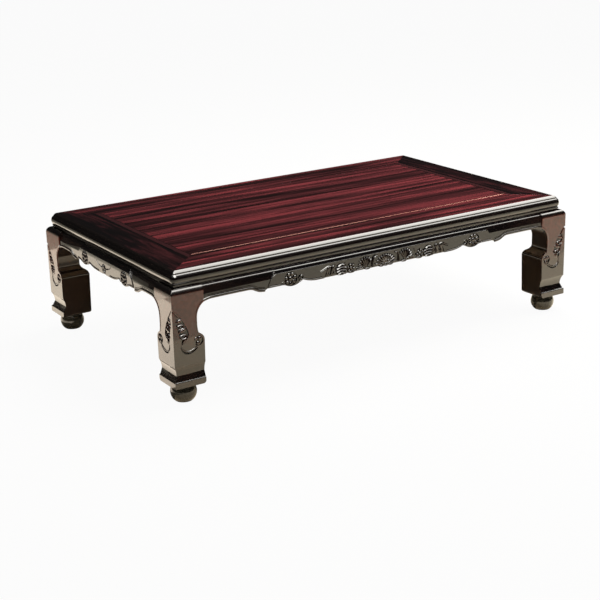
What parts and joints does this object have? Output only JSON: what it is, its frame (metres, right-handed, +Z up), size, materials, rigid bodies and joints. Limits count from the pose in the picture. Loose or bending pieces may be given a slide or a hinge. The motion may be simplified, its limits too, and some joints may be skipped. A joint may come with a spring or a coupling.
{
  "type": "kotatsu table",
  "caption": "Low rectangular heated table with carved aprons, square cut legs on ball feet, a lift-off framed top and a fan heater underneath.",
  "frame": {"origin": "on the floor, under the middle of the table", "axes": "+X along the long side, +Y from the front to the back, +Z up"},
  "size_m": [1.5, 0.9, 0.4],
  "materials": {
    "rosewood": "deep red streaked veneer under clear gloss lacquer",
    "lacquered_wood": "near black brown lacquer with fine grain",
    "turned_lacquer": "turned wood in glossy dark lacquer",
    "plain_wood": "planed unfinished timber",
    "plywood": "sanded plywood",
    "zinc_steel": "zinc plated",
    "black_rubber": "matte",
    "felt": "pressed felt",
    "case_paint": "satin heat resistant paint",
    "guard_paint": "black enamelled wire",
    "reflector_aluminium": "bright rolled",
    "quartz": "milky quartz",
    "element_wire": "oxidised resistance wire",
    "ceramic": "unglazed steatite ceramic",
    "motor_steel": "pressed steel",
    "black_plastic": "heat resistant moulding",
    "wire_sleeve": "glass fibre sleeving"
  },
  "bodies": {
    "frame": {"anti_slip_pads": "black_rubber", "apron_back": "lacquered_wood", "apron_dowels": "plain_wood", "apron_front": "lacquered_wood", "apron_left": "lacquered_wood", "apron_right": "lacquered_wood", "bracket_screws": "zinc_steel", "corner_brackets": "zinc_steel", "fan_motor": "motor_steel", "hanger_bolts": "zinc_steel", "heater_case": "case_paint", "heater_elements": "element_wire", "heater_guard": "guard_paint", "heater_rail_back": "plain_wood", "heater_rail_front": "plain_wood", "heater_rail_left": "plain_wood", "heater_rail_right": "plain_wood", "heater_reflector": "reflector_aluminium", "heater_thumb_screws": "black_plastic", "heater_tubes": "quartz", "heater_wiring": "wire_sleeve", "leg_back_left": "lacquered_wood", "leg_back_right": "lacquered_wood", "leg_front_left": "lacquered_wood", "leg_front_right": "lacquered_wood", "leg_glides": "black_rubber", "leg_sleeves": "zinc_steel", "power_inlet": "black_plastic", "rail_left": "plain_wood", "rail_right": "plain_wood", "terminal_block": "ceramic", "thermal_fuse": "ceramic", "thermostat": "motor_steel", "tube_holders": "ceramic", "wing_nuts": "zinc_steel"},
    "top": {"backing_board": "plywood", "backing_screws": "zinc_steel", "top_panel": "rosewood", "top_rim_back": "rosewood", "top_rim_front": "rosewood", "top_rim_left": "rosewood", "top_rim_right": "rosewood", "under_strip_back": "lacquered_wood", "under_strip_front": "lacquered_wood", "under_strip_left": "lacquered_wood", "under_strip_right": "lacquered_wood"},
    "fan": {"fan": "black_plastic"},
    "washer_front_left": {"foot_washer_front_left": "felt"},
    "foot_front_left": {"foot_front_left": "turned_lacquer", "foot_stud_front_left": "zinc_steel"},
    "washer_front_right": {"foot_washer_front_right": "felt"},
    "foot_front_right": {"foot_front_right": "turned_lacquer", "foot_stud_front_right": "zinc_steel"},
    "washer_back_right": {"foot_washer_back_right": "felt"},
    "foot_back_right": {"foot_back_right": "turned_lacquer", "foot_stud_back_right": "zinc_steel"},
    "washer_back_left": {"foot_washer_back_left": "felt"},
    "foot_back_left": {"foot_back_left": "turned_lacquer", "foot_stud_back_left": "zinc_steel"}
  },
  "joints": [
    {"name": "top_lift", "type": "slide", "parent": "frame", "child": "top", "axis": [0, 0, 1], "range_m": [0, 0.3]},
    {"name": "fan_spin", "type": "hinge", "parent": "frame", "child": "fan", "pos_m": [0, 0.075, 0.326], "axis": [0, 0, 1], "continuous": true},
    {"name": "foot_travel_front_left", "type": "slide", "parent": "frame", "child": "washer_front_left", "axis": [0, 0, -1], "range_m": [0, 0.015]},
    {"name": "foot_turn_front_left", "type": "hinge", "parent": "washer_front_left", "child": "foot_front_left", "pos_m": [-0.6995, -0.3995, 0.025], "axis": [0, 0, -1], "range_deg": [0, 4320]},
    {"name": "foot_travel_front_right", "type": "slide", "parent": "frame", "child": "washer_front_right", "axis": [0, 0, -1], "range_m": [0, 0.015]},
    {"name": "foot_turn_front_right", "type": "hinge", "parent": "washer_front_right", "child": "foot_front_right", "pos_m": [0.6995, -0.3995, 0.025], "axis": [0, 0, -1], "range_deg": [0, 4320]},
    {"name": "foot_travel_back_right", "type": "slide", "parent": "frame", "child": "washer_back_right", "axis": [0, 0, -1], "range_m": [0, 0.015]},
    {"name": "foot_turn_back_right", "type": "hinge", "parent": "washer_back_right", "child": "foot_back_right", "pos_m": [0.6995, 0.3995, 0.025], "axis": [0, 0, -1], "range_deg": [0, 4320]},
    {"name": "foot_travel_back_left", "type": "slide", "parent": "frame", "child": "washer_back_left", "axis": [0, 0, -1], "range_m": [0, 0.015]},
    {"name": "foot_turn_back_left", "type": "hinge", "parent": "washer_back_left", "child": "foot_back_left", "pos_m": [-0.6995, 0.3995, 0.025], "axis": [0, 0, -1], "range_deg": [0, 4320]}
  ],
  "couplings": [
    {"joint": "foot_travel_front_left", "follows": "foot_turn_front_left", "m_per_rad": 0.00019894},
    {"joint": "foot_travel_front_right", "follows": "foot_turn_front_right", "m_per_rad": 0.00019894},
    {"joint": "foot_travel_back_right", "follows": "foot_turn_back_right", "m_per_rad": 0.00019894},
    {"joint": "foot_travel_back_left", "follows": "foot_turn_back_left", "m_per_rad": 0.00019894}
  ]
}
